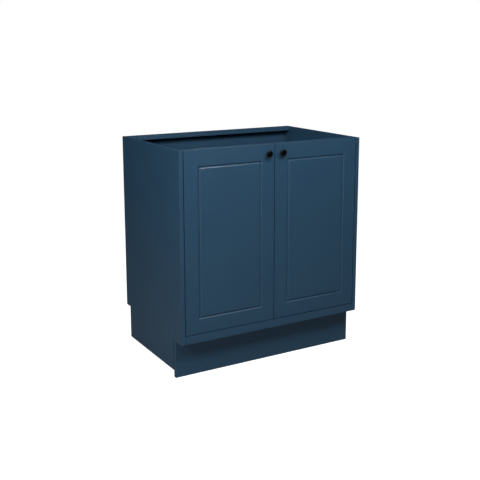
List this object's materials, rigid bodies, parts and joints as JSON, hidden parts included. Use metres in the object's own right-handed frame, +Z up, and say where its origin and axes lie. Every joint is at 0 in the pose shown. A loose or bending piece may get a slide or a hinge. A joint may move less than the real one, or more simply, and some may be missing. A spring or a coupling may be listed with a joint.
{
  "type": "bathroom vanity cabinet",
  "caption": "Painted base cabinet with an open top, two inset doors with a routed groove, round black knobs, concealed hinges, adjustable legs and a set-back plinth.",
  "frame": {"origin": "on the floor, midway across the width and midway between the knobs' faces and the back panel", "axes": "+Z up, +Y towards the wall, +X to the right of a person facing the doors"},
  "size_m": [0.8, 0.5364, 0.865],
  "materials": {
    "blue_paint": "satin deep-blue paint on fibreboard",
    "knob_black": "satin black powder coat",
    "hinge_steel": "nickel-plated pressed steel",
    "zinc": "zinc-plated steel",
    "leg_plastic": "moulded black plastic",
    "bumper_plastic": "clear soft plastic"
  },
  "bodies": {
    "cabinet": {"left_side_panel": "blue_paint", "right_side_panel": "blue_paint", "bottom_panel": "blue_paint", "front_bottom_rail": "blue_paint", "front_top_rail": "blue_paint", "back_top_rail": "blue_paint", "back_panel": "blue_paint", "plinth_board": "blue_paint", "front_left_leg_socket": "leg_plastic", "front_left_leg_tube": "leg_plastic", "front_right_leg_socket": "leg_plastic", "front_right_leg_tube": "leg_plastic", "rear_left_leg_socket": "leg_plastic", "rear_left_leg_tube": "leg_plastic", "rear_right_leg_socket": "leg_plastic", "rear_right_leg_tube": "leg_plastic", "left_plinth_clip": "leg_plastic", "right_plinth_clip": "leg_plastic", "left_door_bumper": "bumper_plastic", "left_lower_hinge_arm": "hinge_steel", "left_lower_hinge_plate": "hinge_steel", "left_lower_arm_screw": "zinc", "left_lower_plate_screw_low": "zinc", "left_lower_plate_screw_high": "zinc", "left_upper_hinge_arm": "hinge_steel", "left_upper_hinge_plate": "hinge_steel", "left_upper_arm_screw": "zinc", "left_upper_plate_screw_low": "zinc", "left_upper_plate_screw_high": "zinc", "right_door_bumper": "bumper_plastic", "right_lower_hinge_arm": "hinge_steel", "right_lower_hinge_plate": "hinge_steel", "right_lower_arm_screw": "zinc", "right_lower_plate_screw_low": "zinc", "right_lower_plate_screw_high": "zinc", "right_upper_hinge_arm": "hinge_steel", "right_upper_hinge_plate": "hinge_steel", "right_upper_arm_screw": "zinc", "right_upper_plate_screw_low": "zinc", "right_upper_plate_screw_high": "zinc"},
    "left_door": {"left_door": "blue_paint", "left_knob": "knob_black", "left_knob_screw": "zinc", "left_lower_hinge_cup": "hinge_steel", "left_lower_hinge_pin": "hinge_steel", "left_upper_hinge_cup": "hinge_steel", "left_upper_hinge_pin": "hinge_steel"},
    "right_door": {"right_door": "blue_paint", "right_knob": "knob_black", "right_knob_screw": "zinc", "right_lower_hinge_cup": "hinge_steel", "right_lower_hinge_pin": "hinge_steel", "right_upper_hinge_cup": "hinge_steel", "right_upper_hinge_pin": "hinge_steel"},
    "front_left_foot": {"front_left_leg_foot": "leg_plastic"},
    "front_right_foot": {"front_right_leg_foot": "leg_plastic"},
    "rear_left_foot": {"rear_left_leg_foot": "leg_plastic"},
    "rear_right_foot": {"rear_right_leg_foot": "leg_plastic"}
  },
  "joints": [
    {"name": "left_door_hinge", "type": "hinge", "parent": "cabinet", "child": "left_door", "pos_m": [-0.3742, -0.24315, 0.52], "axis": [0, 0, -1], "range_deg": [0, 95]},
    {"name": "right_door_hinge", "type": "hinge", "parent": "cabinet", "child": "right_door", "pos_m": [0.3742, -0.24315, 0.52], "axis": [0, 0, 1], "range_deg": [0, 95]},
    {"name": "front_left_foot_turn", "type": "hinge", "parent": "cabinet", "child": "front_left_foot", "pos_m": [-0.33, -0.13775, 0.03], "axis": [0, 0, 1], "continuous": true},
    {"name": "front_right_foot_turn", "type": "hinge", "parent": "cabinet", "child": "front_right_foot", "pos_m": [0.33, -0.13775, 0.03], "axis": [0, 0, 1], "continuous": true},
    {"name": "rear_left_foot_turn", "type": "hinge", "parent": "cabinet", "child": "rear_left_foot", "pos_m": [-0.33, 0.19025, 0.03], "axis": [0, 0, 1], "continuous": true},
    {"name": "rear_right_foot_turn", "type": "hinge", "parent": "cabinet", "child": "rear_right_foot", "pos_m": [0.33, 0.19025, 0.03], "axis": [0, 0, 1], "continuous": true}
  ]
}
